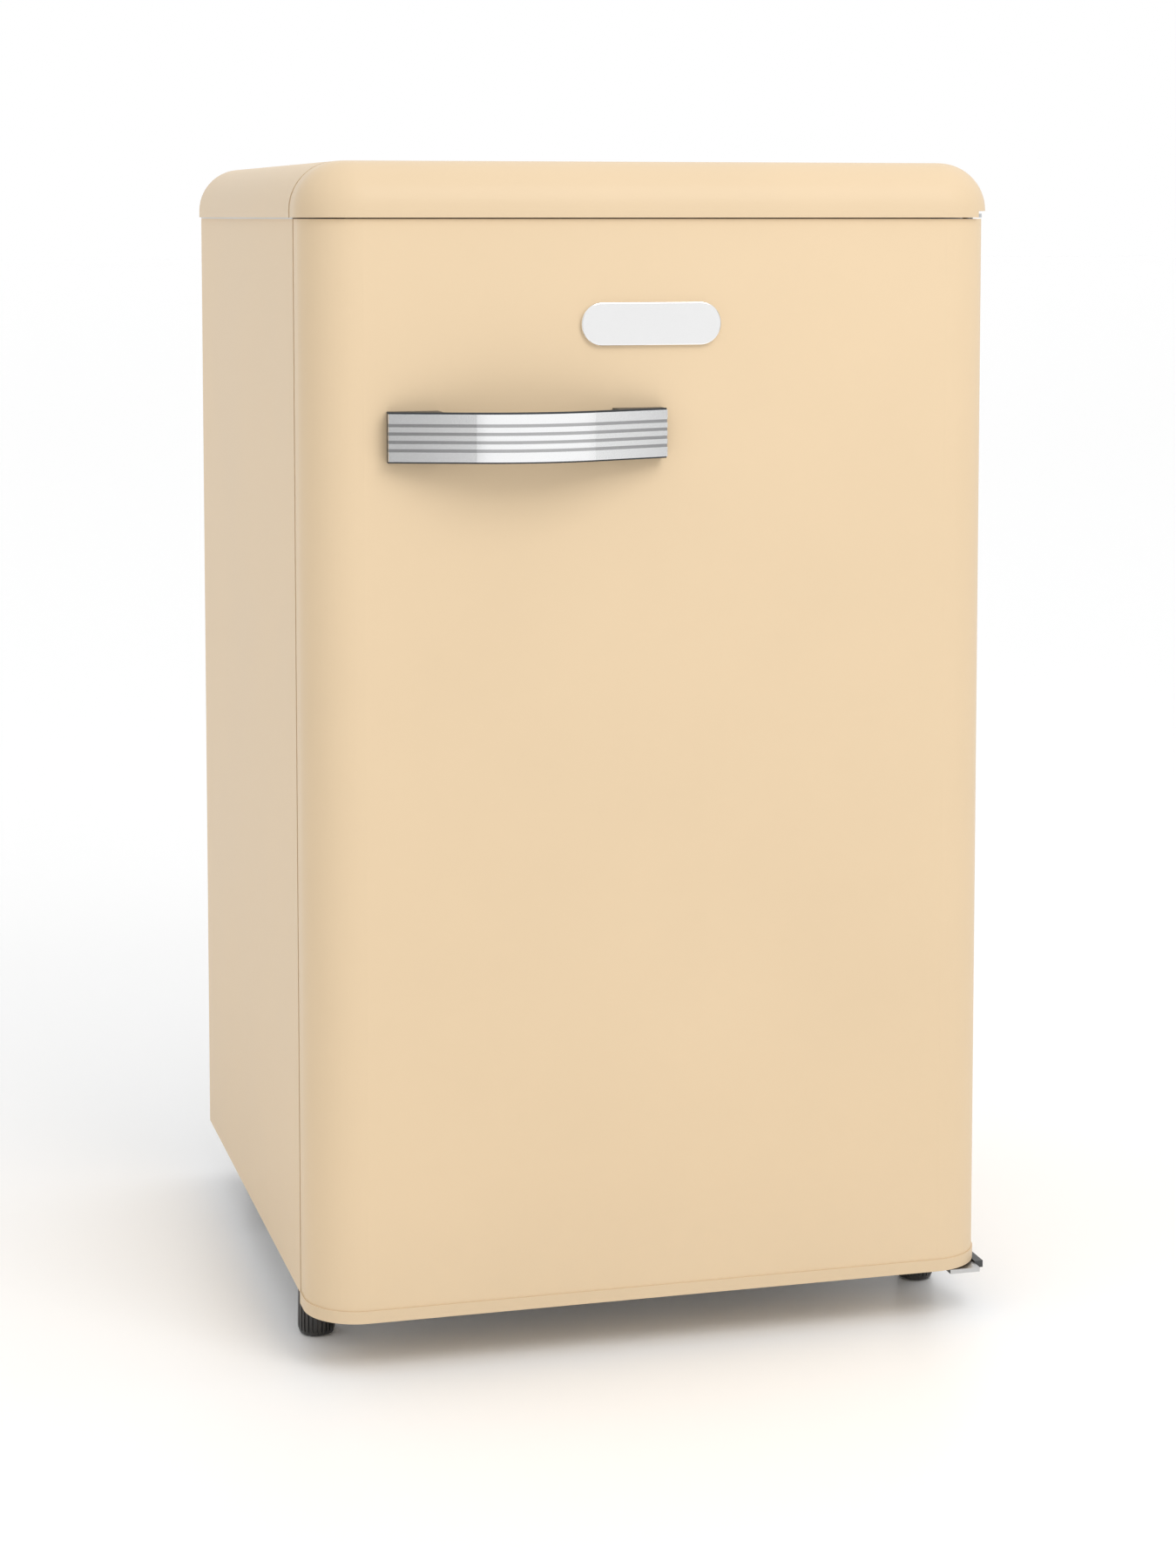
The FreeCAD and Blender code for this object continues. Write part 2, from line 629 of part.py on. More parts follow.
def handle_mount():
    """The dark moulding behind the strap: a thin backing and a foot block at each end."""
    backing = bow("backing", "strap_thick + backing_thick", "strap_thick",
                  "handle_base - backing_over", "handle_tall + 2 * backing_over")

    def foot(side):
        inner = f"handle_middle + {side} * (handle_half - handle_foot)"
        outer = f"handle_middle + {side} * (handle_half - 1)"
        across = (outer, inner) if side == LEFT else (inner, outer)
        return block(f"handle_foot_{side + 1}", across,
                     ("door_face - handle_lift - handle_rise", "door_face"),
                     ("handle_base - backing_over", "handle_base + handle_tall + backing_over"))
    keep_out = bow("keep_out", "strap_thick + 0.5", "-60", "handle_base - 10", "handle_tall + 20")
    feet = cut("handle_feet_cut", fuse("handle_feet", both(foot)), [keep_out])
    return subpart(fuse("mount_joined", [backing, feet]), "handle_mount")


def handle_screws():
    """Two screws come from inside the door into each foot."""
    return subpart(group("handle_screw_set", handle_fixings("screw_head", "4", "2.5")),
                   "handle_screws")


def badge():
    """A plain bright plaque with softened corners, left blank."""
    body = fresh("PartDesign::Body", "badge_body")
    sketch = drawn(body, "badge_outline", "XY_Plane",
                   rectangle("badge_middle - badge_half", "badge_middle + badge_half",
                             "door_face - badge_thick", "door_face"), "badge_base")
    pad(body, "badge_block", sketch, "badge_tall")
    face = size("door_face")

    def through(edge):
        box = edge.BoundBox
        return box.YLength > 1 and box.XLength < 1e-3 and box.ZLength < 1e-3
    fillet(body, "badge_corners", "badge_tall / 2 - 0.2", through)
    fillet(body, "badge_edge", "1.2",
           lambda edge: edge.BoundBox.YMax < face - 1)
    return subpart(body, "badge")


# ---------------------------------------------------------------- feet


def ribbed_foot(side, label):
    """A black adjusting foot: a turned body with grooves all round its grip."""
    body = fresh("PartDesign::Body", label + "_body")
    profile = [("0", "0"), ("foot_radius - foot_round", "0"), ("foot_radius - 1.4", "1.5"),
               ("foot_radius - 0.3", "foot_round"), ("foot_radius", "foot_round + 2"),
               ("foot_radius - 0.6", "foot_top - 4"), ("foot_radius - 2", "foot_top"),
               ("0", "foot_top")]
    revolved(body, label + "_turned", profile, f"{side} * foot_across", "foot_along")
    groove = drawn(body, label + "_groove_outline", "XY_Plane",
                   rectangle("foot_radius - 1.3", "foot_radius + 3", "-0.55", "0.55"), "4")
    cutter = pocket(body, label + "_groove", groove, "foot_top", reverse=True)
    ring = body.newObject("PartDesign::PolarPattern", label + "_grooves")
    ring.Originals = [cutter]
    ring.Axis = (groove, ["N_Axis"])
    ring.Angle = 360
    ring.Occurrences = 26
    body.Tip = ring
    doc.recompute()
    return subpart(body, label)


def foot_stud(side, label):
    stud = rod(label + "_rod", (f"{side} * foot_across", "foot_along", "foot_top"),
               "stud_radius", "24")
    return subpart(stud, label)


def foot_nuts():
    """Hexagonal inserts on the floor pan that the studs screw into."""
    def nut(side):
        prism = fresh("Part::Prism", f"nut_blank_{side + 1}")
        prism.Polygon = 6
        bind(prism, "Circumradius", "8.4")
        bind(prism, "Height", "9")
        place(prism, (f"{side} * foot_across", "foot_along", "body_base + 2"))
        bore = rod(f"nut_bore_{side + 1}", (f"{side} * foot_across", "foot_along", "body_base"),
                   "stud_radius + pin_fit", "20")
        return cut(f"nut_{side + 1}", prism, [bore])
    return subpart(group("foot_nut_set", both(nut)), "foot_nuts")


def rear_feet():
    def foot(side):
        base = (f"{side} * rear_foot_across", "rear_foot_along", "0")
        pad_part = tip(f"rear_foot_pad_{side + 1}", base, "13", "16", "6")
        stem = rod(f"rear_foot_stem_{side + 1}",
                   (base[0], base[1], "6"), "16", "body_base - 6")
        return fuse(f"rear_foot_{side + 1}", [pad_part, stem])
    return subpart(group("rear_foot_set", both(foot)), "rear_feet")


# ---------------------------------------------------------------- inside the cabinet


SHELVES = ("crisper_cover", "shelf_low", "shelf_high")


def shelf_glass():
    """Three glass plates: the crisper's cover and two shelves."""
    plates = [block(f"glass_{height}", ("-shelf_half", "shelf_half"),
                    ("shelf_front + 6", "shelf_back"), (height, f"{height} + glass_thick"))
              for height in SHELVES]
    return subpart(group("glass_set", plates), "shelf_glass")


def shelf_trims():
    """Moulded strips clipped over the front and back edges of the three glass plates."""
    strips = []
    for level, height in enumerate(SHELVES):
        up = (f"{height} - 0.2", f"{height} + glass_thick + 2.4")
        outer = block(f"trim_out_{level}", ("-shelf_half", "shelf_half"),
                      ("shelf_front", "shelf_front + 14"), (f"{height} - 2", up[1]))
        room = block(f"trim_room_{level}", ("-shelf_half - 5", "shelf_half + 5"),
                     ("shelf_front + 6", "shelf_front + 20"),
                     (height, f"{height} + glass_thick"))
        under = block(f"trim_under_{level}", ("-shelf_half - 5", "shelf_half + 5"),
                      ("shelf_front + 4", "shelf_front + 20"), (f"{height} - 5", height))
        strips.append(cut(f"trim_{level}", outer, [room, under]))
    return subpart(group("trim_set", strips), "shelf_trims")


def crisper_drawer():
    """The vegetable drawer: a thin open box with a grip rolled out of its front."""
    body = fresh("PartDesign::Body", "crisper_body")
    outline = drawn(body, "crisper_outline", "XY_Plane",
                    rectangle("-crisper_half", "crisper_half", "shelf_front + 2",
                              "crisper_back"), "crisper_base")
    pad(body, "crisper_block", outline, "crisper_tall")
    fillet(body, "crisper_corners", "14", upright)
    floor = size("crisper_base")
    fillet(body, "crisper_floor_edge", "8", lambda edge: at_height(edge, floor))
    room = drawn(body, "crisper_room", "XY_Plane",
                 rectangle("-crisper_half + 3", "crisper_half - 3", "shelf_front + 5",
                           "crisper_back - 3"), "crisper_base + 3")
    pocket(body, "crisper_hollow", room, "crisper_tall", reverse=True)
    grip = block("crisper_grip", ("-55", "55"), ("shelf_front - 3", "shelf_front + 3"),
                 ("crisper_base + crisper_tall - 16", "crisper_base + crisper_tall - 10"))
    return subpart(fuse("crisper_joined", [body, grip]), "crisper_drawer")


def evaporator():
    """The ice box: an aluminium sleeve closed at the back, which is also the evaporator."""
    outer = block("ice_outer", ("-ice_half", "ice_half"), ("ice_front", "ice_back"),
                  ("ice_base", "ice_top"))
    room = block("ice_room", ("-ice_half + ice_wall", "ice_half - ice_wall"),
                 ("ice_front - 5", "ice_back - ice_wall"),
                 ("ice_base + ice_wall", "ice_top - ice_wall"))
    return subpart(cut("ice_cut", outer, [room]), "evaporator")


def ice_flap():
    """The ice box's drop-down front, with a trough grip, turning on pins at its foot."""
    front = "ice_front - flap_gap - flap_thick"
    plate = block("flap_plate", ("-ice_half + 6", "ice_half - 6"),
                  (front, "ice_front - flap_gap"), ("ice_base + 2", "ice_base + 2 + flap_tall"))
    hollow = block("flap_hollow", ("-ice_half + 12", "ice_half - 12"),
                   (f"{front} + 2.5", "ice_front - flap_gap + 2"),
                   ("ice_base + 14", "ice_base + flap_tall - 4"))
    grip = block("flap_grip", ("-50", "50"), (f"{front} - 5", f"{front} + 1"),
                 ("ice_base + flap_tall - 12", "ice_base + flap_tall - 6"))
    pins = both(lambda side: rod(f"flap_pin_{side + 1}",
                                 (f"{side} * (ice_half - 4) - 4", f"{front} + flap_thick / 2",
                                  "ice_base + 6"), "2.5", "8", "x"))
    plate_cut = cut("flap_cut", plate, [hollow])
    return subpart(fuse("flap_joined", [plate_cut, grip] + pins), "ice_flap")


def flap_lugs():
    """Two ears fixed on the ice box's front edge, which hold the flap's pins."""
    def ear(side):
        inner, outer = f"{side} * (ice_half - 4.5)", f"{side} * (ice_half + 0.5)"
        across = (outer, inner) if side == LEFT else (inner, outer)
        front = "ice_front - flap_gap - flap_thick"
        plate = block(f"ear_plate_{side + 1}", across, (f"{front} - 1", "ice_front"),
                      ("ice_base", "ice_base + 12"))
        hole = rod(f"ear_hole_{side + 1}",
                   (f"{side} * ice_half - 15", f"{front} + flap_thick / 2", "ice_base + 6"),
                   "2.5 + pin_fit", "30", "x")
        return cut(f"ear_{side + 1}", plate, [hole])
    return subpart(group("ear_set", both(ear)), "flap_lugs")


def thermostat_box():
    """The control housing on the right wall, with the lamp's recess behind the knob."""
    shell = block("thermo_shell", ("thermo_left", "room_half"), ("thermo_front", "thermo_back"),
                  ("thermo_base", "thermo_base + thermo_tall"))
    recess = block("thermo_recess", ("thermo_left - 5", "room_half - 4"),
                   ("knob_along + 30", "thermo_back - 5"),
                   ("thermo_base + 5", "thermo_base + thermo_tall - 5"))
    shaft = rod("thermo_shaft_hole", ("thermo_left - 5", "knob_along",
                                      "thermo_base + thermo_tall / 2"),
                "3 + pin_fit", "20", "x")
    front = size("thermo_front")
    left = size("thermo_left")

    def nose(edge):
        box = edge.BoundBox
        return upright(edge) and abs(box.YMin - front) < 0.1 and abs(box.XMin - left) < 0.1
    return subpart(cut("thermo_cut", eased("thermo_eased", shell, 10, nose), [recess, shaft]),
                   "thermostat_box")


def thermostat_knob():
    """The round knob with its pointer bar and a shaft into the housing."""
    base = ("thermo_left - knob_thick - 0.4", "knob_along", "thermo_base + thermo_tall / 2")
    disc = rod("knob_disc", base, "knob_radius", "knob_thick", "x")
    bar = block("knob_bar", ("thermo_left - knob_thick - 5", "thermo_left - knob_thick + 2"),
                ("knob_along - 3", "knob_along + 3"),
                ("thermo_base + thermo_tall / 2 - 17", "thermo_base + thermo_tall / 2 + 19"))
    shaft = rod("knob_shaft", ("thermo_left - 1", base[1], base[2]), "3", "12", "x")
    return subpart(fuse("knob_joined", [disc, bar, shaft]), "thermostat_knob")


def lamp():
    """A small screw-in bulb lying along the housing's recess, in its holder."""
    height = "thermo_base + thermo_tall / 2"
    across = "(thermo_left + room_half) / 2"
    holder = rod("lamp_holder", (across, "knob_along + 30", height), "9", "14", "y")
    glass = fresh("Part::Sphere", "lamp_glass")
    bind(glass, "Radius", "11")
    place(glass, (across, "knob_along + 62", height))
    neck = tip("lamp_neck", (across, "knob_along + 43", height), "7", "9.5", "14", "y")
    return subpart(fuse("lamp_joined", [holder, neck, glass]), "lamp")


def lamp_cover():
    """The ribbed clear cover that snaps over the lamp's recess."""
    plate = block("cover_plate", ("thermo_left - 2", "thermo_left"),
                  ("knob_along + 28", "thermo_back - 3"),
                  ("thermo_base + 3", "thermo_base + thermo_tall - 3"))
    ribs = [block(f"cover_rib_{i}", ("thermo_left - 3.5", "thermo_left - 1.5"),
                  (f"knob_along + 34 + {i} * 9", f"knob_along + 37 + {i} * 9"),
                  ("thermo_base + 6", "thermo_base + thermo_tall - 6")) for i in range(9)]
    return subpart(fuse("cover_joined", [plate] + ribs), "lamp_cover")


def door_switch():
    """The lamp switch on the ceiling just inside the door, bored for its plunger."""
    housing = block("switch_block", ("switch_left", "switch_right"),
                    ("cabinet_front + 6", "switch_back"), ("switch_base", "room_top"))
    bore = rod("switch_bore", ("(switch_left + switch_right) / 2", "cabinet_front",
                               "(switch_base + room_top) / 2"),
               "plunger_radius + pin_fit", "26", "y")
    return subpart(cut("switch_cut", housing, [bore]), "door_switch")


def switch_plunger():
    base = ("(switch_left + switch_right) / 2", "door_back + 0.4", "(switch_base + room_top) / 2")
    stem = rod("plunger_stem", base, "plunger_radius", "22", "y")
    return subpart(stem, "switch_plunger")


# ---------------------------------------------------------------- door racks


def door_rack(label, base, tall, front, rim):
    """An open tray held between the door's ribs, with a raised bar across its front."""
    body = fresh("PartDesign::Body", label + "_body")
    outline = drawn(body, label + "_outline", "XY_Plane",
                    rectangle("-rack_half", "rack_half", "door_back + 0.4", front), base)
    pad(body, label + "_block", outline, tall)
    front_place = body.Shape.BoundBox.YMax
    fillet(body, label + "_corners", "16",
           lambda edge: upright(edge) and abs(edge.BoundBox.YMin - front_place) < 0.1)
    room = drawn(body, label + "_room", "XY_Plane",
                 rectangle("-rack_half + 4", "rack_half - 4", "door_back + 2.9",
                           f"({front}) - 4"), f"{base} + rack_wall")
    pocket(body, label + "_hollow", room, tall, reverse=True)
    window = drawn(body, label + "_window", "XZ_Plane",
                   rectangle("-rack_half + 22", "rack_half - 22", f"{base} + ({tall}) * 0.48",
                             f"{base} + {tall} - {rim}"), "0")
    bind(window, "AttachmentOffset.Base.z", f"-({front}) - 8")
    pocket(body, label + "_slot", window, "14", reverse=True)
    return subpart(body, label)


def egg_tray():
    """A tray with eight round cups, which lies in the top rack."""
    base = "rack_top_base + rack_wall + 0.4"
    plate = block("egg_plate", ("-180", "40"), ("door_back + 6", "rack_top_front - 8"),
                  (base, f"{base} + 16"))
    cups = [rod(f"egg_cup_{i}", (f"-156 + {i} * 43", "(door_back + rack_top_front) / 2",
                                 f"{base} + 3"), "17", "20") for i in range(5)]
    return subpart(cut("egg_cut", plate, cups), "egg_tray")


# ---------------------------------------------------------------- cooling system


def compressor_bar():
    """The steel crossbar that the compressor and rear feet are fixed to."""
    half = "body_half - sheet_steel"
    plate = block("bar_plate", (f"-({half})", half), ("bay_front + 20", "cabinet_back"),
                  ("body_base", "body_base + 2"))
    lip = block("bar_lip", (f"-({half})", half), ("cabinet_back - 2", "cabinet_back"),
                ("body_base", "body_base + 16"))
    return subpart(fuse("bar_joined", [plate, lip]), "compressor_bar")


def compressor():
    """The black welded pot: a turned shell with a seam, on four ears."""
    body = fresh("PartDesign::Body", "motor_body")
    seam = "motor_base + motor_tall * 0.52"
    profile = [("0", "motor_base"), ("motor_radius * 0.62", "motor_base"),
               ("motor_radius * 0.93", "motor_base + 14"), ("motor_radius - 2", "motor_base + 26"),
               ("motor_radius - 2", f"{seam} - 3"), ("motor_radius", f"{seam} - 3"),
               ("motor_radius", f"{seam} + 3"), ("motor_radius - 3", f"{seam} + 3"),
               ("motor_radius * 0.94", "motor_base + motor_tall - 28"),
               ("motor_radius * 0.80", "motor_base + motor_tall - 11"),
               ("motor_radius * 0.52", "motor_base + motor_tall - 2"),
               ("0", "motor_base + motor_tall")]
    revolved(body, "motor_shell", profile, "motor_across", "motor_along")
    ears = block("motor_ears", ("motor_across - 78", "motor_across + 78"),
                 ("motor_along - 52", "motor_along + 52"), ("motor_base - 3", "motor_base + 1"))
    return subpart(fuse("motor_joined", [body, ears]), "compressor")


def rubber_mounts():
    feet = []
    for i, (x_side, y_side) in enumerate(((-1, -1), (1, -1), (-1, 1), (1, 1))):
        feet.append(rod(f"mount_{i}", (f"motor_across + {x_side} * 68",
                                       f"motor_along + {y_side} * 42", "body_base + 2"),
                        "10", "motor_base - 3 - body_base - 2"))
    return subpart(group("mount_set", feet), "rubber_mounts")


def relay_box():
    """The start relay's housing, clipped to the compressor's side."""
    housing = block("relay_block", ("motor_across + motor_radius - 6", "motor_across + 92"),
                    ("motor_along - 24", "motor_along + 24"),
                    ("motor_base + 24", "motor_base + 84"))
    pot = rod("relay_pot", ("motor_across", "motor_along", "motor_base"),
              "motor_radius + 0.2", "motor_tall")
    return subpart(cut("relay_cut", housing, [pot]), "relay_box")


def drip_tray():
    """The tray over the compressor where the melt water dries off."""
    outer = block("tray_outer", ("motor_across - 62", "motor_across + 150"),
                  ("motor_along - 48", "motor_along + 48"),
                  ("motor_base + motor_tall + 0.4", "bay_top - 6"))
    room = block("tray_room", ("motor_across - 60", "motor_across + 148"),
                 ("motor_along - 46", "motor_along + 46"),
                 ("motor_base + motor_tall + 3", "bay_top"))
    return subpart(cut("tray_cut", outer, [room]), "drip_tray")


def drain_tube():
    """The pipe that takes melt water from the liner's step down to the tray."""
    outer = rod("drain_outer", ("drain_across", "drain_along", "bay_top - 12"), "drain_radius",
                "hump_top - bay_top + 10")
    bore = rod("drain_inner", ("drain_across", "drain_along", "bay_top - 20"),
               "drain_radius - 1.5", "70")
    return subpart(cut("drain_cut", outer, [bore]), "drain_tube")


def route(points, radius, bend):
    """A round tube along straight runs joined by tangent arcs."""
    corners = [FreeCAD.Vector(*point) for point in points]
    edges = []
    start = corners[0]
    for before, here, after in zip(corners, corners[1:], corners[2:]):
        into = (here - before).normalize()
        out = (after - here).normalize()
        setback = bend * abs(FreeCAD.Vector(into).cross(out).Length) / (1 + into.dot(out))
        first = here - into * setback
        last = here + out * setback
        inward = (out - into).normalize()
        reach = (setback ** 2 + bend ** 2) ** 0.5 - bend
        edges.append(Part.LineSegment(start, first).toShape())
        edges.append(Part.Arc(first, here + inward * reach, last).toShape())
        start = last
    edges.append(Part.LineSegment(start, corners[-1]).toShape())
    path = Part.Wire(edges)
    ring = Part.Wire(Part.makeCircle(radius, corners[0], corners[1] - corners[0]))
    return path.makePipeShell([ring], True, False, 2)


def shaped(name, label, shape):
    thing = fresh("Part::Feature", name)
    thing.Shape = shape
    thing.Placement = FreeCAD.Placement()
    return subpart(thing, label)


COIL_RUNS = 12


def condenser_tube():
    """The serpentine on the back, with its ends led down into the bay."""
    half, base, step = size("coil_half"), size("coil_base"), size("coil_step")
    along, radius = size("coil_along"), size("tube_radius")
    points = [(half - 20, along, size("bay_top") - 90)]
    for run in range(COIL_RUNS):
        height = base + run * step
        near, far = (half - 20, 15 - half) if run % 2 == 0 else (15 - half, half - 20)
        points += [(near, along, height), (far, along, height)]
    points[-1] = (half + 5, along, base + (COIL_RUNS - 1) * step)
    points.append((half + 5, along, size("bay_top") - 90))
    return shaped("coil_route", "condenser_tube", route(points, radius, 15))


def condenser_wires():
    """Upright wires on both faces of the serpentine."""
    radius, along = size("wire_radius"), size("coil_along")
    reach = size("tube_radius") + radius
    half = size("coil_half") - 44
    base = size("coil_base") - 12
    tall = (COIL_RUNS - 1) * size("coil_step") + 24
    count = int(2 * half / size("wire_step")) + 1
    wires = []
    for face in (LEFT, RIGHT):
        for i in range(count):
            foot = FreeCAD.Vector(i * size("wire_step") - half, along + face * reach, base)
            wires.append(Part.makeCylinder(radius, tall, foot))
    return shaped("wire_set", "condenser_wires", Part.makeCompound(wires))


def condenser_clips():
    """Moulded stand-offs that hold the serpentine off the back panel."""
    clips = []
    for row in (1, 5, 9):
        for side in (LEFT, RIGHT):
            middle = f"{side} * (coil_half - 34)"
            height = f"coil_base + {row} * coil_step"
            clips.append(block(f"clip_{row}_{side + 1}", (f"{middle} - 6", f"{middle} + 6"),
                               ("cabinet_back", "coil_along - tube_radius"),
                               (f"{height} - 7", f"{height} + 7")))
    return subpart(group("clip_set", clips), "condenser_clips")


def rear_spacers():
    """Two blocks that keep the condenser clear of the wall."""
    blocks = both(lambda side: block(f"spacer_{side + 1}",
                                     (f"{side} * 246 - 9", f"{side} * 246 + 9"),
                                     ("cabinet_back", "rear_limit"),
                                     ("lid_base - 90", "lid_base - 50")))
    return subpart(group("spacer_set", blocks), "rear_spacers")


def filter_drier():
    """The copper cartridge between the condenser and the capillary."""
    base = ("150", "motor_along + 30", "bay_top - 120")
    pot = rod("drier_pot", base, "9", "60")
    low = tip("drier_low", (base[0], base[1], "bay_top - 132"), "3", "9", "12")
    high = tip("drier_high", (base[0], base[1], "bay_top - 60"), "9", "3", "12")
    return subpart(fuse("drier_joined", [pot, low, high]), "filter_drier")


def copper_pipes():
    """The suction and discharge pipes between the compressor, drier and condenser."""
    across, along = size("motor_across"), size("motor_along")
    top, reach = size("bay_top"), size("motor_radius")
    coil, half = size("coil_along"), size("coil_half")
    discharge = [(across + reach - 10, along + 34, top - 75),
                 (across + reach + 60, along + 34, top - 75),
                 (across + reach + 60, along + 66, top - 75)]
    capillary = [(150, along + 30, top - 47.5), (150, along + 30, top - 30),
                 (40, along + 30, top - 30)]
    feed = [(150, along + 30, top - 132.5), (150, along + 30, top - 142),
            (half - 20, along + 30, top - 142), (half - 20, coil, top - 142),
            (half - 20, coil, top - 90)]
    suction = [(across - reach - 0.2, along, top - 80), (across - reach - 40, along, top - 80),
               (across - reach - 40, along, top - 2)]
    runs = [route(discharge, 2.6, 12), route(capillary, 1.2, 6), route(feed, 2.6, 6),
            route(suction, 3.5, 12)]
    return shaped("pipe_set", "copper_pipes", Part.makeCompound(runs))


def power_inlet():
    """The gland where the supply enters the bay, low on the crossbar's right."""
    plate = block("inlet_plate", ("100", "130"), ("cabinet_back - 2", "cabinet_back + 2"),
                  ("body_base + 16", "body_base + 40"))
    boss = rod("inlet_boss", ("115", "cabinet_back + 2", "body_base + 28"), "8", "9", "y")
    bore = rod("inlet_bore", ("115", "cabinet_back - 10", "body_base + 28"), "3.6", "40", "y")
    return subpart(cut("inlet_cut", fuse("inlet_joined", [plate, boss]), [bore]), "power_inlet")


def build():
    for side, name in ((LEFT, "left"), (RIGHT, "right")):
        side_panel(side, f"side_panel_{name}")
    top_panel()
    back_panel()
    base_pan()
    bay_panel()
    cabinet_foam()
    cabinet_liner()
    rear_cover()
    door_panel()
    door_foam()
    door_trim()
    door_liner()
    door_gasket()
    door_cap()
    hinge_bushes()
    hinge_upper()
    hinge_lower()
    hinge_stop()
    hinge_washer()
    hinge_screws()
    handle_strap()
    handle_mount()
    handle_screws()
    badge()
    for side, name in ((LEFT, "left"), (RIGHT, "right")):
        ribbed_foot(side, f"foot_{name}")
        foot_stud(side, f"foot_stud_{name}")
    foot_nuts()
    rear_feet()
    shelf_glass()
    shelf_trims()
    crisper_drawer()
    evaporator()
    ice_flap()
    flap_lugs()
    thermostat_box()
    thermostat_knob()
    lamp()
    lamp_cover()
    door_switch()
    switch_plunger()
    door_rack("rack_bottle", "rack_low_base", "rack_low_tall", "rack_front", "14")
    door_rack("rack_middle", "rack_mid_base", "rack_mid_tall", "rack_front", "14")
    door_rack("rack_top", "rack_top_base", "rack_top_tall", "rack_top_front", "14")
    egg_tray()
    compressor_bar()
    compressor()
    rubber_mounts()
    relay_box()
    drip_tray()
    drain_tube()
    condenser_tube()
    condenser_wires()
    condenser_clips()
    rear_spacers()
    filter_drier()
    copper_pipes()
    power_inlet()


def check():
    """Stop if any object failed or any sub-part's shape is missing or broken."""
    for thing in doc.Objects:
        if {"Invalid", "Error"} & set(thing.State):
            raise RuntimeError(f"{thing.Label} failed: {thing.State}")
    for thing in SUBPARTS:
        if thing.Shape.isNull() or not thing.Shape.isValid():
            raise RuntimeError(f"{thing.Label} has no sound shape")


build()
doc.recompute()
check()
for thing in SUBPARTS:
    thing.Shape.exportStep(f"parts/{thing.Label}.step")
print(len(SUBPARTS), "sub-parts written")
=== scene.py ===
"""The looks of a retro mini fridge: cream enamel, a satin ribbed handle and a fitted interior."""
import math

import bmesh
import bpy
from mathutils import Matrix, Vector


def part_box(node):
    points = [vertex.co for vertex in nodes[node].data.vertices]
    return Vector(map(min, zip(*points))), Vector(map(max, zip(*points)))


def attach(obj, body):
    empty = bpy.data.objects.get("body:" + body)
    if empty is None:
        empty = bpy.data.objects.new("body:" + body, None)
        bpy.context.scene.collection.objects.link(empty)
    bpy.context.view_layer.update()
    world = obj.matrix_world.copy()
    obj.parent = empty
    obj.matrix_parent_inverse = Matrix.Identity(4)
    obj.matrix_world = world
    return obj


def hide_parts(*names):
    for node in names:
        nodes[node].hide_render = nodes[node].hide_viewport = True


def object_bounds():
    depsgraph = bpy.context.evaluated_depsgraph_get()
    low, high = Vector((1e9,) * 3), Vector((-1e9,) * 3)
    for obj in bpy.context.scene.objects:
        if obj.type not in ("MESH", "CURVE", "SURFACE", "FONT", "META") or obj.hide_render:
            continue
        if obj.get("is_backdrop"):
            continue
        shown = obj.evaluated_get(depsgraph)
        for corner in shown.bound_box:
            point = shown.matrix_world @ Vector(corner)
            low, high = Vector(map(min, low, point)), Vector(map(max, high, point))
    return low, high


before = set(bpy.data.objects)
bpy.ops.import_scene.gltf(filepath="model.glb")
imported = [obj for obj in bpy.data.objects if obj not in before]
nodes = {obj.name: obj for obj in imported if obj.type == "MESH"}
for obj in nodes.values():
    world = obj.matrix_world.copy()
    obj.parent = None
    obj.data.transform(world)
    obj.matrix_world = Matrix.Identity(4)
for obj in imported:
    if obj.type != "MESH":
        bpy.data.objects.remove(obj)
cad_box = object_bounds()
bpy.ops.object.select_all(action="DESELECT")


# ---- shared effects: each outputs only masks, values or normals
# Every surface has a fine grain, a slow mottle and a little dirt near the floor.

def new_group(name, inputs, outputs):
    """An empty shader group with its sockets, and its input and output nodes."""
    group = bpy.data.node_groups.new(name, "ShaderNodeTree")
    for socket, kind, value in inputs:
        made = group.interface.new_socket(socket, in_out="INPUT", socket_type=kind)
        made.default_value = value
    for socket, kind in outputs:
        group.interface.new_socket(socket, in_out="OUTPUT", socket_type=kind)
    start = group.nodes.new("NodeGroupInput")
    end = group.nodes.new("NodeGroupOutput")
    return group, start, end


def noise_at(group, scale, detail):
    """A noise texture that follows the piece itself."""
    place = group.nodes.new("ShaderNodeTexCoord")
    noise = group.nodes.new("ShaderNodeTexNoise")
    noise.inputs["Scale"].default_value = scale
    noise.inputs["Detail"].default_value = detail
    group.links.new(place.outputs["Object"], noise.inputs["Vector"])
    return noise


# Fine grain as a normal, its size and depth chosen by each material.
grain, grain_in, grain_out = new_group(
    "fine_grain",
    [("Scale", "NodeSocketFloat", 900.0), ("Depth", "NodeSocketFloat", 0.00002)],
    [("Normal", "NodeSocketVector")])
grain_noise = noise_at(grain, 900, 3)
grain_bump = grain.nodes.new("ShaderNodeBump")
grain_bump.inputs["Strength"].default_value = 1.0
grain.links.new(grain_in.outputs["Scale"], grain_noise.inputs["Scale"])
grain.links.new(grain_in.outputs["Depth"], grain_bump.inputs["Distance"])
grain.links.new(grain_noise.outputs["Fac"], grain_bump.inputs["Height"])
grain.links.new(grain_bump.outputs["Normal"], grain_out.inputs["Normal"])

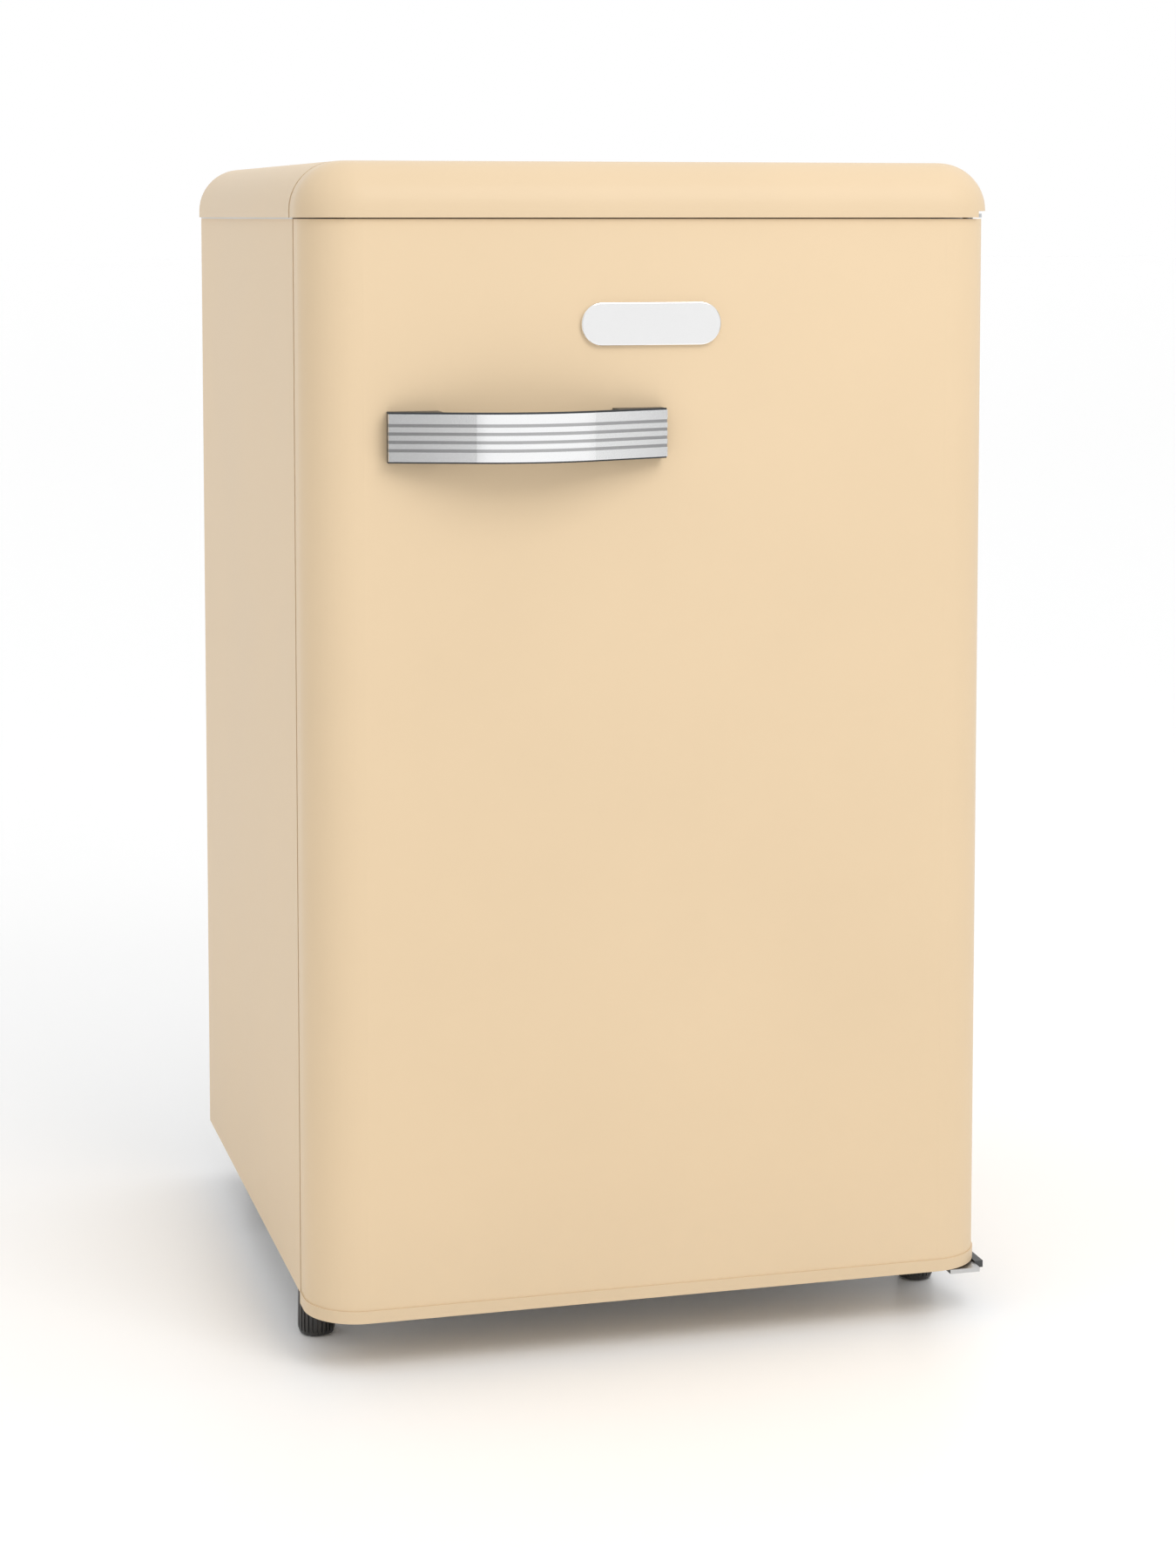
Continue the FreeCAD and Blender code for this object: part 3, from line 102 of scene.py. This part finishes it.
# A slow mottle about zero that shifts colour and roughness a little.
mottle, mottle_in, mottle_out = new_group(
    "slow_mottle", [("Amount", "NodeSocketFloat", 0.05)], [("Value", "NodeSocketFloat")])
mottle_noise = noise_at(mottle, 6, 5)
mottle_scale = mottle.nodes.new("ShaderNodeMapRange")
mottle_scale.inputs["From Min"].default_value = 0.25
mottle_scale.inputs["From Max"].default_value = 0.75
mottle_minus = mottle.nodes.new("ShaderNodeMath")
mottle_minus.operation = "MULTIPLY"
mottle_minus.inputs[1].default_value = -1.0
mottle.links.new(mottle_in.outputs["Amount"], mottle_minus.inputs[0])
mottle.links.new(mottle_minus.outputs["Value"], mottle_scale.inputs["To Min"])
mottle.links.new(mottle_in.outputs["Amount"], mottle_scale.inputs["To Max"])
mottle.links.new(mottle_noise.outputs["Fac"], mottle_scale.inputs["Value"])
mottle.links.new(mottle_scale.outputs["Result"], mottle_out.inputs["Value"])

# Dust that gathers towards the floor, broken up by noise.
dust, dust_in, dust_out = new_group(
    "low_dust", [("Reach", "NodeSocketFloat", 0.12)], [("Mask", "NodeSocketFloat")])
dust_place = dust.nodes.new("ShaderNodeTexCoord")
dust_split = dust.nodes.new("ShaderNodeSeparateXYZ")
dust_fall = dust.nodes.new("ShaderNodeMapRange")
dust_fall.inputs["From Min"].default_value = 0.0
dust_fall.inputs["To Min"].default_value = 1.0
dust_fall.inputs["To Max"].default_value = 0.0
dust_noise = noise_at(dust, 60, 6)
dust_mix = dust.nodes.new("ShaderNodeMath")
dust_mix.operation = "MULTIPLY"
dust.links.new(dust_place.outputs["Object"], dust_split.inputs["Vector"])
dust.links.new(dust_split.outputs["Z"], dust_fall.inputs["Value"])
dust.links.new(dust_in.outputs["Reach"], dust_fall.inputs["From Max"])
dust.links.new(dust_fall.outputs["Result"], dust_mix.inputs[0])
dust.links.new(dust_noise.outputs["Fac"], dust_mix.inputs[1])
dust.links.new(dust_mix.outputs["Value"], dust_out.inputs["Mask"])


def add_group(tree, group, **values):
    """Place a shader group in a material with its own values."""
    node = tree.nodes.new("ShaderNodeGroup")
    node.node_tree = group
    for name, value in values.items():
        node.inputs[name].default_value = value
    return node


def finish_of(name, colour, roughness, metallic=0.0, grain_size=900.0, grain_depth=0.00002,
              vary=0.05, dirt=0.25, coat=0.0, clear=0.0, shine=0.5, see=1.0):
    """A material with a grain, a mottle in colour and roughness, and dust near the floor."""
    made = bpy.data.materials.new(name)
    made.use_nodes = True
    tree = made.node_tree
    skin = tree.nodes["Principled BSDF"]
    skin.inputs["Metallic"].default_value = metallic
    skin.inputs["IOR"].default_value = 1.5
    skin.inputs["Specular IOR Level"].default_value = shine
    skin.inputs["Alpha"].default_value = see
    skin.inputs["Coat Weight"].default_value = coat
    skin.inputs["Coat Roughness"].default_value = 0.06
    skin.inputs["Transmission Weight"].default_value = clear
    relief = add_group(tree, grain, Scale=grain_size, Depth=grain_depth)
    cloud = add_group(tree, mottle, Amount=vary)
    low = add_group(tree, dust, Reach=0.14)
    rough = tree.nodes.new("ShaderNodeMath")
    rough.operation = "ADD"
    rough.inputs[1].default_value = roughness
    tone = tree.nodes.new("ShaderNodeHueSaturation")
    tone.inputs["Color"].default_value = (*colour, 1.0)
    lighter = tree.nodes.new("ShaderNodeMath")
    lighter.operation = "ADD"
    lighter.inputs[1].default_value = 1.0
    dusty = tree.nodes.new("ShaderNodeMix")
    dusty.data_type = "RGBA"
    dusty.inputs[7].default_value = (0.42, 0.38, 0.32, 1.0)
    share = tree.nodes.new("ShaderNodeMath")
    share.operation = "MULTIPLY"
    share.inputs[1].default_value = dirt
    tree.links.new(cloud.outputs["Value"], rough.inputs[0])
    tree.links.new(cloud.outputs["Value"], lighter.inputs[0])
    tree.links.new(lighter.outputs["Value"], tone.inputs["Value"])
    tree.links.new(low.outputs["Mask"], share.inputs[0])
    tree.links.new(share.outputs["Value"], dusty.inputs["Factor"])
    tree.links.new(tone.outputs["Color"], dusty.inputs[6])
    tree.links.new(dusty.outputs[2], skin.inputs["Base Color"])
    tree.links.new(rough.outputs["Value"], skin.inputs["Roughness"])
    tree.links.new(relief.outputs["Normal"], skin.inputs["Normal"])
    return made


def dress(material, *names):
    """Give the named CAD nodes one material."""
    for name in names:
        thing = nodes[name]
        thing.data.materials.clear()
        thing.data.materials.append(material)


def soften(width, *names):
    """Bevel the named nodes' sharp edges a little, so that they catch the light."""
    for name in names:
        edge = nodes[name].modifiers.new("soft_edge", "BEVEL")
        edge.width = width
        edge.segments = 3
        edge.limit_method = "ANGLE"
        edge.angle_limit = math.radians(40)
        edge.harden_normals = True


# ---- cabinet and door skins
# Pressed steel sheet in satin gloss cream enamel, folded round foam.
enamel = finish_of("cream_enamel", (0.745, 0.578, 0.382), 0.38, grain_size=420.0,
                   grain_depth=0.00003, vary=0.018, dirt=0.12, shine=0.12)
dress(enamel, "side_panel_left", "side_panel_right", "door_panel")

# ---- lid, cap and foot trim
# Injection moulded parts in nearly the same cream, a touch glossier than the steel.
moulded = finish_of("cream_moulding", (0.71, 0.552, 0.366), 0.36, grain_size=700.0,
                    grain_depth=0.00002, vary=0.02, dirt=0.12, shine=0.14)
dress(moulded, "rear_cover", "door_cap", "door_trim")
soften(0.0008, "door_trim")

# ---- white interior
# Vacuum formed polystyrene, clean and slightly glossy, with soft bends everywhere.
white = finish_of("white_styrene", (0.85, 0.865, 0.865), 0.3, grain_size=500.0,
                  grain_depth=0.00001, vary=0.006, dirt=0.0)
dress(white, "cabinet_liner", "door_liner", "shelf_trims", "thermostat_box", "door_switch",
      "ice_flap", "flap_lugs", "egg_tray", "switch_plunger")
soften(0.0015, "door_liner", "cabinet_liner", "thermostat_box", "ice_flap", "egg_tray")
soften(0.0006, "shelf_trims", "door_switch", "flap_lugs")
knob_grey = finish_of("knob_grey", (0.30, 0.33, 0.36), 0.38, vary=0.03, dirt=0.05)
dress(knob_grey, "thermostat_knob")
soften(0.0012, "thermostat_knob")

# ---- clear racks, drawer and lamp cover
# Clear polystyrene mouldings with a faint cool tint.
clear = finish_of("clear_styrene", (0.86, 0.92, 0.94), 0.08, grain_size=260.0,
                  grain_depth=0.00002, vary=0.02, dirt=0.0, shine=0.7, see=0.34)
dress(clear, "rack_bottle", "rack_middle", "rack_top", "crisper_drawer")
soften(0.0012, "rack_bottle", "rack_middle", "rack_top", "crisper_drawer")
frosted = finish_of("frosted_cover", (0.92, 0.93, 0.90), 0.35, grain_size=1500.0,
                    grain_depth=0.00006, vary=0.02, dirt=0.0, clear=0.5)
dress(frosted, "lamp_cover")

# ---- glass
# Toughened shelf glass with a faint green tint, held in the shelves' white trims.
# The small lamp bulb has the same glass.
glass = finish_of("shelf_glass", (0.72, 0.88, 0.81), 0.03, grain_size=80.0,
                  grain_depth=0.00001, vary=0.01, dirt=0.0, shine=0.8, see=0.30)
dress(glass, "shelf_glass", "lamp")
soften(0.0006, "shelf_glass")

# ---- metals
# Brushed or plated, each with its own grain.
alloy = finish_of("rolled_aluminium", (0.72, 0.74, 0.76), 0.36, 1.0, 340.0, 0.00006, 0.05, 0.0)
dress(alloy, "evaporator")
soften(0.001, "evaporator")
zinc = finish_of("zinc_plate", (0.56, 0.57, 0.58), 0.34, 1.0, 220.0, 0.00003, 0.07, 0.3)
dress(zinc, "top_panel", "base_pan", "bay_panel", "compressor_bar", "hinge_lower", "hinge_upper",
      "hinge_screws", "handle_screws", "foot_nuts", "foot_stud_left", "foot_stud_right",
      "back_panel")
soften(0.0005, "hinge_lower", "hinge_upper", "hinge_screws", "compressor_bar")
copper = finish_of("drawn_copper", (0.72, 0.36, 0.22), 0.30, 1.0, 300.0, 0.00003, 0.08, 0.2)
dress(copper, "copper_pipes", "filter_drier")

# ---- foam
# Rigid insulating foam, set in place between the skins and the liners.
foam = finish_of("set_foam", (0.80, 0.66, 0.36), 0.9, grain_size=300.0, grain_depth=0.0004,
                 vary=0.08, dirt=0.1)
dress(foam, "cabinet_foam", "door_foam")

# ---- handle
# A satin plated strap, brushed along its length, over a dark moulded backing.
satin = finish_of("satin_plate", (0.94, 0.945, 0.95), 0.2, 1.0, 900.0, 0.00001, 0.04, 0.0)

# The groove floors are darkened with painted shade: bands in height, repeated at the rib's pitch.
bands, bands_in, bands_out = new_group(
    "groove_shade_bands",
    [("Start", "NodeSocketFloat", 0.0), ("Pitch", "NodeSocketFloat", 0.0062),
     ("Width", "NodeSocketFloat", 0.0024), ("Count", "NodeSocketFloat", 4.0)],
    [("Mask", "NodeSocketFloat")])


def maths(tree, operation, first, second):
    """A math node fed by two sockets or numbers."""
    node = tree.nodes.new("ShaderNodeMath")
    node.operation = operation
    for socket, value in zip(node.inputs, (first, second)):
        if isinstance(value, (int, float)):
            socket.default_value = value
        else:
            tree.links.new(value, socket)
    return node.outputs["Value"]


bands_place = bands.nodes.new("ShaderNodeTexCoord")
bands_split = bands.nodes.new("ShaderNodeSeparateXYZ")
bands.links.new(bands_place.outputs["Object"], bands_split.inputs["Vector"])
lifted = maths(bands, "SUBTRACT", bands_split.outputs["Z"], bands_in.outputs["Start"])
turns = maths(bands, "DIVIDE", lifted, bands_in.outputs["Pitch"])
share = maths(bands, "FRACT", turns, 0.0)
widest = maths(bands, "DIVIDE", bands_in.outputs["Width"], bands_in.outputs["Pitch"])
inside = maths(bands, "LESS_THAN", share, widest)
above = maths(bands, "GREATER_THAN", turns, 0.0)
below = maths(bands, "LESS_THAN", turns, bands_in.outputs["Count"])
kept = maths(bands, "MULTIPLY", maths(bands, "MULTIPLY", inside, above), below)
bands.links.new(kept, bands_out.inputs["Mask"])

strap_low, strap_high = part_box("handle_strap")
satin_tree = satin.node_tree
satin_skin = satin_tree.nodes["Principled BSDF"]
first_groove = 0.0072
groove = add_group(satin_tree, bands, Start=strap_low[2] + first_groove)
plain = satin_skin.inputs["Base Color"].links[0].from_socket
# Painted shade in the grooves: the banded mask mixes a darker grey into the strap's base colour.
groove_shade = satin_tree.nodes.new("ShaderNodeMix")
groove_shade.data_type = "RGBA"
groove_shade.inputs[7].default_value = (0.46, 0.46, 0.465, 1.0)
satin_tree.links.new(groove.outputs["Mask"], groove_shade.inputs["Factor"])
satin_tree.links.new(plain, groove_shade.inputs[6])
satin_tree.links.new(groove_shade.outputs[2], satin_skin.inputs["Base Color"])
dress(satin, "handle_strap")
soften(0.0003, "handle_strap")

# ---- dark mouldings
# Black plastic parts: the handle's backing, hinge stop, bushes, rear spacers and trays.
dark = finish_of("dark_moulding", (0.028, 0.032, 0.036), 0.42, grain_size=1200.0,
                 grain_depth=0.00005, vary=0.03, dirt=0.1)
dress(dark, "handle_mount", "hinge_stop", "hinge_washer", "hinge_bushes", "relay_box",
      "power_inlet", "rear_spacers", "condenser_clips", "drain_tube", "drip_tray")
soften(0.0008, "handle_mount", "hinge_stop", "relay_box", "rear_spacers", "drip_tray",
       "power_inlet")

# ---- badge
# A plain plated plaque stuck to the door, with nothing on it.
bright = finish_of("bright_plate", (0.86, 0.86, 0.86), 0.12, 1.0, 600.0, 0.00001, 0.03, 0.0)
dress(bright, "badge")

# ---- seal
# A soft grey vinyl frame with a folded bellows round its edge and a magnet strip inside.
# It is pushed into the inner door's groove and closes on the cabinet's rim.
seal = finish_of("grey_vinyl", (0.30, 0.29, 0.28), 0.6, grain_size=900.0, grain_depth=0.00004,
                 vary=0.05, dirt=0.2)
seal_low, seal_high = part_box("door_gasket")
seal_size = [seal_high[i] - seal_low[i] for i in range(3)]
seal_middle = [(seal_high[i] + seal_low[i]) / 2 for i in range(3)]
bpy.ops.mesh.primitive_cube_add(size=1, location=seal_middle)
gasket = bpy.context.object
gasket.name = "seal_bellows"
gasket.scale = seal_size
bpy.ops.object.transform_apply(location=True, rotation=True, scale=True)
bpy.ops.object.mode_set(mode="EDIT")
bpy.context.tool_settings.mesh_select_mode = (False, False, True)
seal_width = 0.020
fold_margin = 0.0009
fold_depth = 0.0016


def choose_faces(thing, test):
    """Select the faces of the edited mesh that pass a test of centre and normal."""
    mesh = bmesh.from_edit_mesh(thing.data)
    for face in mesh.faces:
        face.select_set(test(face.calc_center_median(), face.normal))
    mesh.select_flush_mode()
    bmesh.update_edit_mesh(thing.data)


choose_faces(gasket, lambda centre, normal: abs(normal.y) > 0.9)
bpy.ops.mesh.inset(thickness=seal_width, use_individual=True)
bpy.ops.mesh.bridge_edge_loops()
choose_faces(gasket, lambda centre, normal: abs(normal.y) < 0.1)
bpy.ops.mesh.inset(thickness=fold_margin, use_individual=True)
bpy.ops.transform.shrink_fatten(value=-fold_depth)
bpy.ops.mesh.select_all(action="SELECT")
bpy.ops.mesh.normals_make_consistent(inside=False)
bpy.ops.object.mode_set(mode="OBJECT")
round_fold = gasket.modifiers.new("round_fold", "BEVEL")
round_fold.width = 0.0005
round_fold.segments = 2
bpy.ops.object.modifier_apply(modifier="round_fold")
bpy.ops.object.shade_smooth_by_angle(angle=math.radians(40))
bpy.context.scene.cursor.location = (0, 0, 0)
bpy.ops.object.origin_set(type="ORIGIN_CURSOR")
gasket.data.materials.append(seal)
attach(gasket, "door")
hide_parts("door_gasket")

# ---- thermostat scale
# Short raised marks moulded round the knob, longer towards the cold end.
knob_low, knob_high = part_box("thermostat_knob")
housing_low, housing_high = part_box("thermostat_box")
knob_y = (knob_low[1] + knob_high[1]) / 2
knob_z = (housing_low[2] + housing_high[2]) / 2
knob_reach = (knob_high[1] - knob_low[1]) / 2 + 0.004
mark_count = 7
first_turn = -135
turn_step = 45
shortest = 0.0022
longer_by = 0.0004


def join_as(name, parts):
    """Join the parts into one named piece, with its place in its mesh."""
    for part in parts:
        part.select_set(True)
    bpy.ops.object.join()
    whole = bpy.context.object
    whole.name = name
    bpy.ops.object.transform_apply(location=True, rotation=True, scale=True)
    return whole


bpy.ops.object.select_all(action="DESELECT")
marks = []
for step in range(mark_count):
    turn = math.radians(first_turn + turn_step * step)
    long = shortest + longer_by * step
    where = (housing_low[0] - 0.0002, knob_y + knob_reach * math.sin(turn),
             knob_z + knob_reach * math.cos(turn))
    bpy.ops.mesh.primitive_cube_add(size=1, location=where, rotation=(-turn, 0, 0))
    mark = bpy.context.object
    mark.scale = (0.0008, 0.0011, long)
    marks.append(mark)
scale_marks = join_as("thermostat_marks", marks)
scale_marks.data.materials.append(knob_grey)
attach(scale_marks, "cabinet")

# ---- liner drain gutter
# A shallow moulded channel low on the back wall that leads melt water to the drain.
# It is part of the liner's look, a pair of ribs that slope to the middle.
room_low, room_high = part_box("cabinet_liner")
half_long = 0.11
off_wall = 0.007
gutter_height = 0.262
slope = 3.0


def round_edges(width, segments):
    """Bevel every edge of the active piece."""
    bpy.ops.object.mode_set(mode="EDIT")
    bpy.ops.mesh.select_all(action="SELECT")
    bpy.ops.mesh.bevel(offset=width, segments=segments, affect="EDGES")
    bpy.ops.object.mode_set(mode="OBJECT")


bpy.ops.object.select_all(action="DESELECT")
gutters = []
for side in (-1, 1):
    bpy.ops.mesh.primitive_cube_add(size=1, rotation=(0, math.radians(side * -slope), 0),
                                    location=(side * half_long, room_high[1] - off_wall,
                                              gutter_height))
    gutter = bpy.context.object
    gutter.scale = (0.215, 0.010, 0.004)
    gutters.append(gutter)
drain_gutter = join_as("drain_gutter", gutters)
round_edges(0.0015, 3)
bpy.ops.object.shade_smooth_by_angle(angle=math.radians(40))
drain_gutter.data.materials.append(white)
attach(drain_gutter, "cabinet")

# ---- ice box channels
# The raised refrigerant channels pressed into the ice box's floor, a row of joined loops.
ice_low, ice_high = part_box("evaporator")
bpy.ops.object.select_all(action="DESELECT")
channels = []
run_count = 7
run_step = 0.042
run_long = 0.38
first_run = ice_low[1] + 0.035
channel_radius = 0.0035
channel_height = ice_low[2] + 0.0032
for run in range(run_count):
    depth = first_run + run * run_step
    bpy.ops.mesh.primitive_cylinder_add(vertices=16, radius=channel_radius, depth=run_long,
                                        location=(0, depth, channel_height),
                                        rotation=(0, math.radians(90), 0))
    channels.append(bpy.context.object)
for run in range(run_count - 1):
    end = run_long / 2 if run % 2 == 0 else -run_long / 2
    depth = first_run + (run + 0.5) * run_step
    bpy.ops.mesh.primitive_cylinder_add(vertices=16, radius=channel_radius,
                                        depth=run_step + 2 * channel_radius,
                                        location=(end, depth, channel_height),
                                        rotation=(math.radians(90), 0, 0))
    channels.append(bpy.context.object)
ice_channels = join_as("ice_channels", channels)
bpy.ops.object.shade_smooth_by_angle(angle=math.radians(40))
ice_channels.data.materials.append(alloy)
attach(ice_channels, "cabinet")

# ---- flap ribs
# Three raised bars across the ice box flap's face, moulded with it.
flap_low, flap_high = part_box("ice_flap")
bpy.ops.object.select_all(action="DESELECT")
flap_bars = []
first_rib = 0.03
rib_step = 0.022
for rib in range(3):
    height = flap_low[2] + first_rib + rib * rib_step
    bpy.ops.mesh.primitive_cube_add(size=1, location=(0, flap_low[1] + 0.0044, height))
    bar = bpy.context.object
    bar.scale = (0.38, 0.0030, 0.006)
    flap_bars.append(bar)
flap_ribs = join_as("flap_ribs", flap_bars)
round_edges(0.001, 2)
flap_ribs.data.materials.append(white)
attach(flap_ribs, "flap")

# ---- feet and cooling unit
# Ribbed black feet; gloss black pot and serpentine.
foot_black = finish_of("foot_black", (0.016, 0.016, 0.017), 0.3, grain_size=900.0,
                       grain_depth=0.00004, vary=0.03, dirt=0.12)
dress(foot_black, "foot_left", "foot_right", "rear_feet", "rubber_mounts")
soften(0.0004, "foot_left", "foot_right", "rear_feet")
gloss_black = finish_of("gloss_black", (0.012, 0.012, 0.013), 0.22, grain_size=260.0,
                        grain_depth=0.00008, vary=0.05, dirt=0.35, coat=0.4)
dress(gloss_black, "compressor", "condenser_tube", "condenser_wires")

# ---- smooth shading
# Curved faces shade smoothly, and edges past 32 degrees stay crisp.
for thing in nodes.values():
    bpy.context.view_layer.objects.active = thing
    thing.select_set(True)
    bpy.ops.object.shade_smooth_by_angle(angle=math.radians(32))
    thing.select_set(False)

# ---- studio
# A white floor and surround, one large soft light, and three matt cards out of the picture.
bpy.ops.mesh.primitive_plane_add(size=120, location=(0, 2, 0))
floor = bpy.context.object
floor.name = "studio_floor"
floor_white = bpy.data.materials.new("floor_white")
floor_white.use_nodes = True
floor_white.node_tree.nodes["Principled BSDF"].inputs["Base Color"].default_value = (1, 1, 1, 1)
floor_white.node_tree.nodes["Principled BSDF"].inputs["Roughness"].default_value = 0.4
floor.data.materials.append(floor_white)
floor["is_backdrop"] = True

world = bpy.data.worlds.new("white_surround")
bpy.context.scene.world = world
world.use_nodes = True
world.node_tree.nodes["Background"].inputs["Color"].default_value = (1, 1, 1, 1)
world.node_tree.nodes["Background"].inputs["Strength"].default_value = 1.0


def soft_light(name, place, aim, size, power):
    """A square soft light that points at a place."""
    data = bpy.data.lights.new(name, "AREA")
    data.size = size
    data.energy = power
    lamp = bpy.data.objects.new(name, data)
    bpy.context.collection.objects.link(lamp)
    lamp.location = place
    spot = bpy.data.objects.new(name + "_aim", None)
    bpy.context.collection.objects.link(spot)
    spot.location = aim
    track = lamp.constraints.new("TRACK_TO")
    track.target = spot


soft_light("key", (0.5, -1.75, 2.15), (0, 0, 0.7), 1.2, 17)


def flag(name, bearing, away, wide, tall, shade):
    """A matt card that takes light away and gives the metal something to reflect."""
    angle = math.radians(bearing)
    where = (away * math.sin(angle), -away * math.cos(angle), tall / 2)
    bpy.ops.mesh.primitive_plane_add(size=1, location=where,
                                     rotation=(math.radians(90), 0, angle))
    card = bpy.context.object
    card.name = name
    card.scale = (wide, tall, 1)
    matt = bpy.data.materials.new(name + "_matt")
    matt.use_nodes = True
    skin = matt.node_tree.nodes["Principled BSDF"]
    skin.inputs["Base Color"].default_value = (shade, shade, shade, 1)
    skin.inputs["Roughness"].default_value = 0.9
    card.data.materials.append(matt)
    card.visible_camera = False
    card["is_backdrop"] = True


flag("flag_front_left", -35, 3.4, 1.2, 2.2, 0.42)
flag("flag_right", 63, 3.0, 1.3, 2.0, 0.3)
flag("flag_left", -92, 3.4, 2.0, 2.2, 0.58)

# ---- camera
# Near the top edge's height, to the left, looking slightly down.
looks_down = 4.61
looks_right = 15.04
eye = bpy.data.cameras.new("eye")
eye.lens = 72.34
eye.sensor_width = 36
eye.shift_y = -0.20
camera = bpy.data.objects.new("eye", eye)
bpy.context.collection.objects.link(camera)
camera.location = (-0.6744, -2.5587, 0.8784)
camera.rotation_euler = (math.radians(90 - looks_down), 0, math.radians(-looks_right))
bpy.context.scene.camera = camera
bpy.context.scene.view_settings.view_transform = "Standard"


def as_lists(value):
    """Vectors and rows as plain numbers that JSON can hold."""
    return [[float(number) for number in row] if hasattr(row, "__len__") else float(row)
            for row in value]


{"cad": as_lists(cad_box), "looks": as_lists(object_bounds())}
